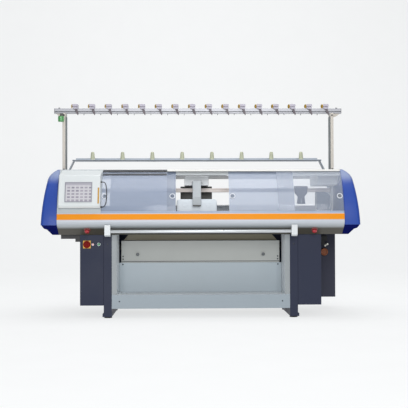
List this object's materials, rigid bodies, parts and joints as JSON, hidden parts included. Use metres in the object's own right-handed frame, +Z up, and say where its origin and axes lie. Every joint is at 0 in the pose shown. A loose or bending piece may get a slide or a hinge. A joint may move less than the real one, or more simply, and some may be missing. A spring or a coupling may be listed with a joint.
{
  "type": "flat knitting machine",
  "caption": "Computerised flat knitting machine: V needle beds with a carriage behind sliding curved covers, end caps, control box, take-down rollers and a yarn stand above.",
  "frame": {"origin": "on the floor under the middle of the machine", "axes": "+X to the operator's right, +Y away from the operator, +Z up"},
  "size_m": [2.52, 0.9677, 1.753],
  "materials": {
    "blue_shell": "moulded, satin gloss",
    "navy_shell": "moulded, satin gloss",
    "pale_enamel": "powder coat",
    "orange_film": "printed film",
    "white_enamel": "powder coat",
    "pale_plastic": "moulded",
    "clear_acrylic": "clear, thermoformed",
    "white_plastic": "moulded",
    "screen_bezel": "screen glass in a bezel",
    "black_sheath": "cable sheath",
    "grey_casting": "painted casting",
    "ground_steel": "ground",
    "dark_enamel": "satin",
    "cast_alloy": "satin",
    "cream_steel": "satin",
    "dark_plastic": "moulded",
    "belt_rubber": "toothed belt",
    "slate_enamel": "powder coat",
    "black_rubber": "moulded",
    "grey_enamel": "powder coat",
    "panel_enamel": "powder coat",
    "polished_steel": "polished",
    "red_plastic": "moulded",
    "yellow_plastic": "moulded",
    "green_plastic": "moulded",
    "cream_enamel": "powder coat",
    "green_lens": "lamp lens"
  },
  "bodies": {
    "machine": {"accent_strip": "orange_film", "bar_brackets": "white_plastic", "bed_casting": "grey_casting", "bobbin_table": "pale_enamel", "button_collars": "dark_plastic", "cabinet_left": "slate_enamel", "cabinet_right": "slate_enamel", "cable_tray": "dark_enamel", "cap_bases": "navy_shell", "carriage_rails": "ground_steel", "columns": "grey_enamel", "cone_pins": "pale_plastic", "control_box": "white_plastic", "control_cable": "black_sheath", "door_tracks": "pale_plastic", "drive_belt": "belt_rubber", "end_cap_left": "blue_shell", "end_cap_right": "blue_shell", "feeder_brackets": "cast_alloy", "feeder_rails": "cream_steel", "front_apron": "pale_enamel", "hood_left": "white_enamel", "kick_panel": "panel_enamel", "leg_left": "slate_enamel", "leg_right": "slate_enamel", "levelling_feet": "black_rubber", "lower_panel": "panel_enamel", "masts": "cream_enamel", "needle_bed_front": "ground_steel", "needle_bed_rear": "ground_steel", "pulley_posts": "dark_enamel", "rear_apron": "pale_enamel", "rear_panel": "slate_enamel", "side_box": "slate_enamel", "signal_lamp": "green_lens", "switch_plate": "yellow_plastic", "tension_units": "dark_plastic", "top_beams": "pale_enamel", "top_rail": "cast_alloy", "touch_screen": "screen_bezel"},
    "door_1": {"door_1": "clear_acrylic"},
    "door_2": {"door_2": "clear_acrylic"},
    "door_3": {"door_3": "clear_acrylic"},
    "door_4": {"door_4": "clear_acrylic"},
    "carriage": {"cam_box_front": "pale_enamel", "cam_box_rear": "dark_enamel", "carriage_bridge": "cast_alloy"},
    "yarn_carrier": {"yarn_carrier": "dark_plastic"},
    "pulley_left": {"pulley_left": "cast_alloy"},
    "pulley_right": {"pulley_right": "cast_alloy"},
    "takedown_roller": {"takedown_roller": "black_rubber"},
    "press_roller": {"press_roller": "black_rubber"},
    "fabric_flap": {"fabric_flap": "grey_enamel", "flap_knobs": "dark_plastic"},
    "operating_bar": {"operating_bar": "polished_steel"},
    "stop_button_left": {"stop_button_left": "red_plastic"},
    "stop_button_right": {"stop_button_right": "red_plastic"},
    "switch_knob": {"switch_knob": "red_plastic"},
    "power_button": {"power_button": "green_plastic"},
    "stop_levers": {"stop_levers": "dark_enamel"}
  },
  "joints": [
    {"name": "door_1_slide", "type": "slide", "parent": "machine", "child": "door_1", "axis": [1, 0, 0], "range_m": [0, 0.43]},
    {"name": "door_2_slide", "type": "slide", "parent": "machine", "child": "door_2", "axis": [1, 0, 0], "range_m": [-0.07, 0.41]},
    {"name": "door_3_slide", "type": "slide", "parent": "machine", "child": "door_3", "axis": [1, 0, 0], "range_m": [-0.008, 0.385]},
    {"name": "door_4_slide", "type": "slide", "parent": "machine", "child": "door_4", "axis": [1, 0, 0], "range_m": [-0.43, 0]},
    {"name": "carriage_slide", "type": "slide", "parent": "machine", "child": "carriage", "axis": [1, 0, 0], "range_m": [-0.72, 0.78]},
    {"name": "yarn_carrier_slide", "type": "slide", "parent": "machine", "child": "yarn_carrier", "axis": [1, 0, 0], "range_m": [-1.6, 0.11]},
    {"name": "pulley_left_spin", "type": "hinge", "parent": "machine", "child": "pulley_left", "pos_m": [-1.03, -0.278, 0.785], "axis": [0, 1, 0], "range_deg": [-1100, 1190]},
    {"name": "pulley_right_spin", "type": "hinge", "parent": "machine", "child": "pulley_right", "pos_m": [1.03, -0.278, 0.785], "axis": [0, 1, 0], "range_deg": [-1100, 1190]},
    {"name": "takedown_roller_spin", "type": "hinge", "parent": "machine", "child": "takedown_roller", "pos_m": [0, 0.03, 0.56], "axis": [1, 0, 0], "continuous": true},
    {"name": "press_roller_spin", "type": "hinge", "parent": "machine", "child": "press_roller", "pos_m": [0, -0.0195, 0.56], "axis": [1, 0, 0], "continuous": true},
    {"name": "fabric_flap_hinge", "type": "hinge", "parent": "machine", "child": "fabric_flap", "pos_m": [0, -0.09, 0.4333], "axis": [1, 0, 0], "range_deg": [0, 70]},
    {"name": "operating_bar_turn", "type": "hinge", "parent": "machine", "child": "operating_bar", "pos_m": [0, -0.4449, 0.692], "axis": [1, 0, 0], "range_deg": [-20, 20], "stiffness_Nm_per_rad": 3},
    {"name": "stop_button_left_press", "type": "slide", "parent": "machine", "child": "stop_button_left", "axis": [0, 0.5549, 0.8319], "range_m": [0, 0.004], "stiffness_N_per_m": 1500},
    {"name": "stop_button_right_press", "type": "slide", "parent": "machine", "child": "stop_button_right", "axis": [0, 0.5549, 0.8319], "range_m": [0, 0.004], "stiffness_N_per_m": 1500},
    {"name": "power_button_press", "type": "slide", "parent": "machine", "child": "power_button", "axis": [0, 1, 0], "range_m": [0, 0.004], "stiffness_N_per_m": 800},
    {"name": "switch_knob_turn", "type": "hinge", "parent": "machine", "child": "switch_knob", "pos_m": [-0.91, -0.33, 0.588], "axis": [0, 1, 0], "range_deg": [0, 90]},
    {"name": "stop_lever_swing", "type": "hinge", "parent": "machine", "child": "stop_levers", "pos_m": [0, -0.033, 1.734], "axis": [1, 0, 0], "range_deg": [-40, 5]}
  ],
  "couplings": [
    {"joint": "pulley_left_spin", "follows": "carriage_slide", "rad_per_m": 26.455},
    {"joint": "pulley_right_spin", "follows": "carriage_slide", "rad_per_m": 26.455},
    {"joint": "press_roller_spin", "follows": "takedown_roller_spin", "ratio": -1.6667}
  ]
}
